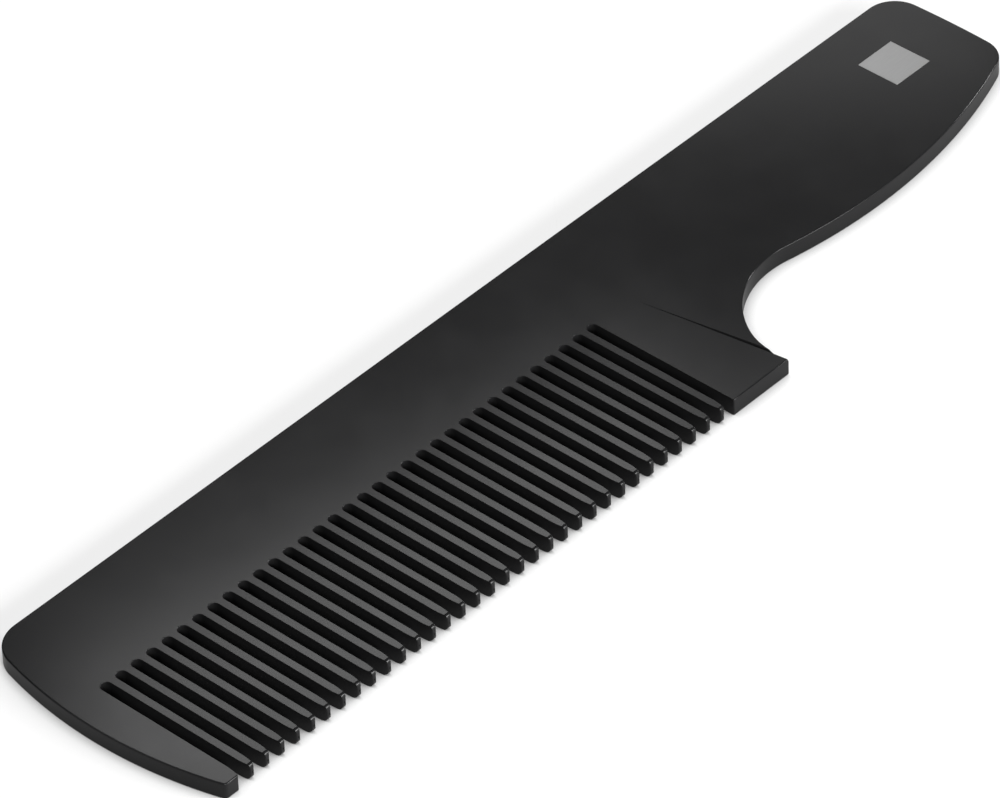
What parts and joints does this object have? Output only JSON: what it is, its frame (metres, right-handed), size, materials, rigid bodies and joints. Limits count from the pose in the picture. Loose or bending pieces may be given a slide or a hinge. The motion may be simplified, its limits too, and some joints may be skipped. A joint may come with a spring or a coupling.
{
  "type": "hair comb",
  "caption": "Flat black hair comb with a knife-shaped outline: a row of rounded teeth below a straight spine, a finger notch and a bellied handle with a bare square tag.",
  "frame": {"origin": "bottom centre of the comb's box, in the plane of its underside", "axes": "+X from the toe to the handle's butt, +Y from the tooth tips to the spine, +Z out of the face that carries the tag"},
  "size_m": [0.1814, 0.0414, 0.0028],
  "materials": {
    "black_coating": "black satin coating on steel",
    "bare_steel": "bare satin steel"
  },
  "bodies": {
    "root": {"comb_plate": "black_coating", "handle_tag": "bare_steel"}
  },
  "joints": []
}
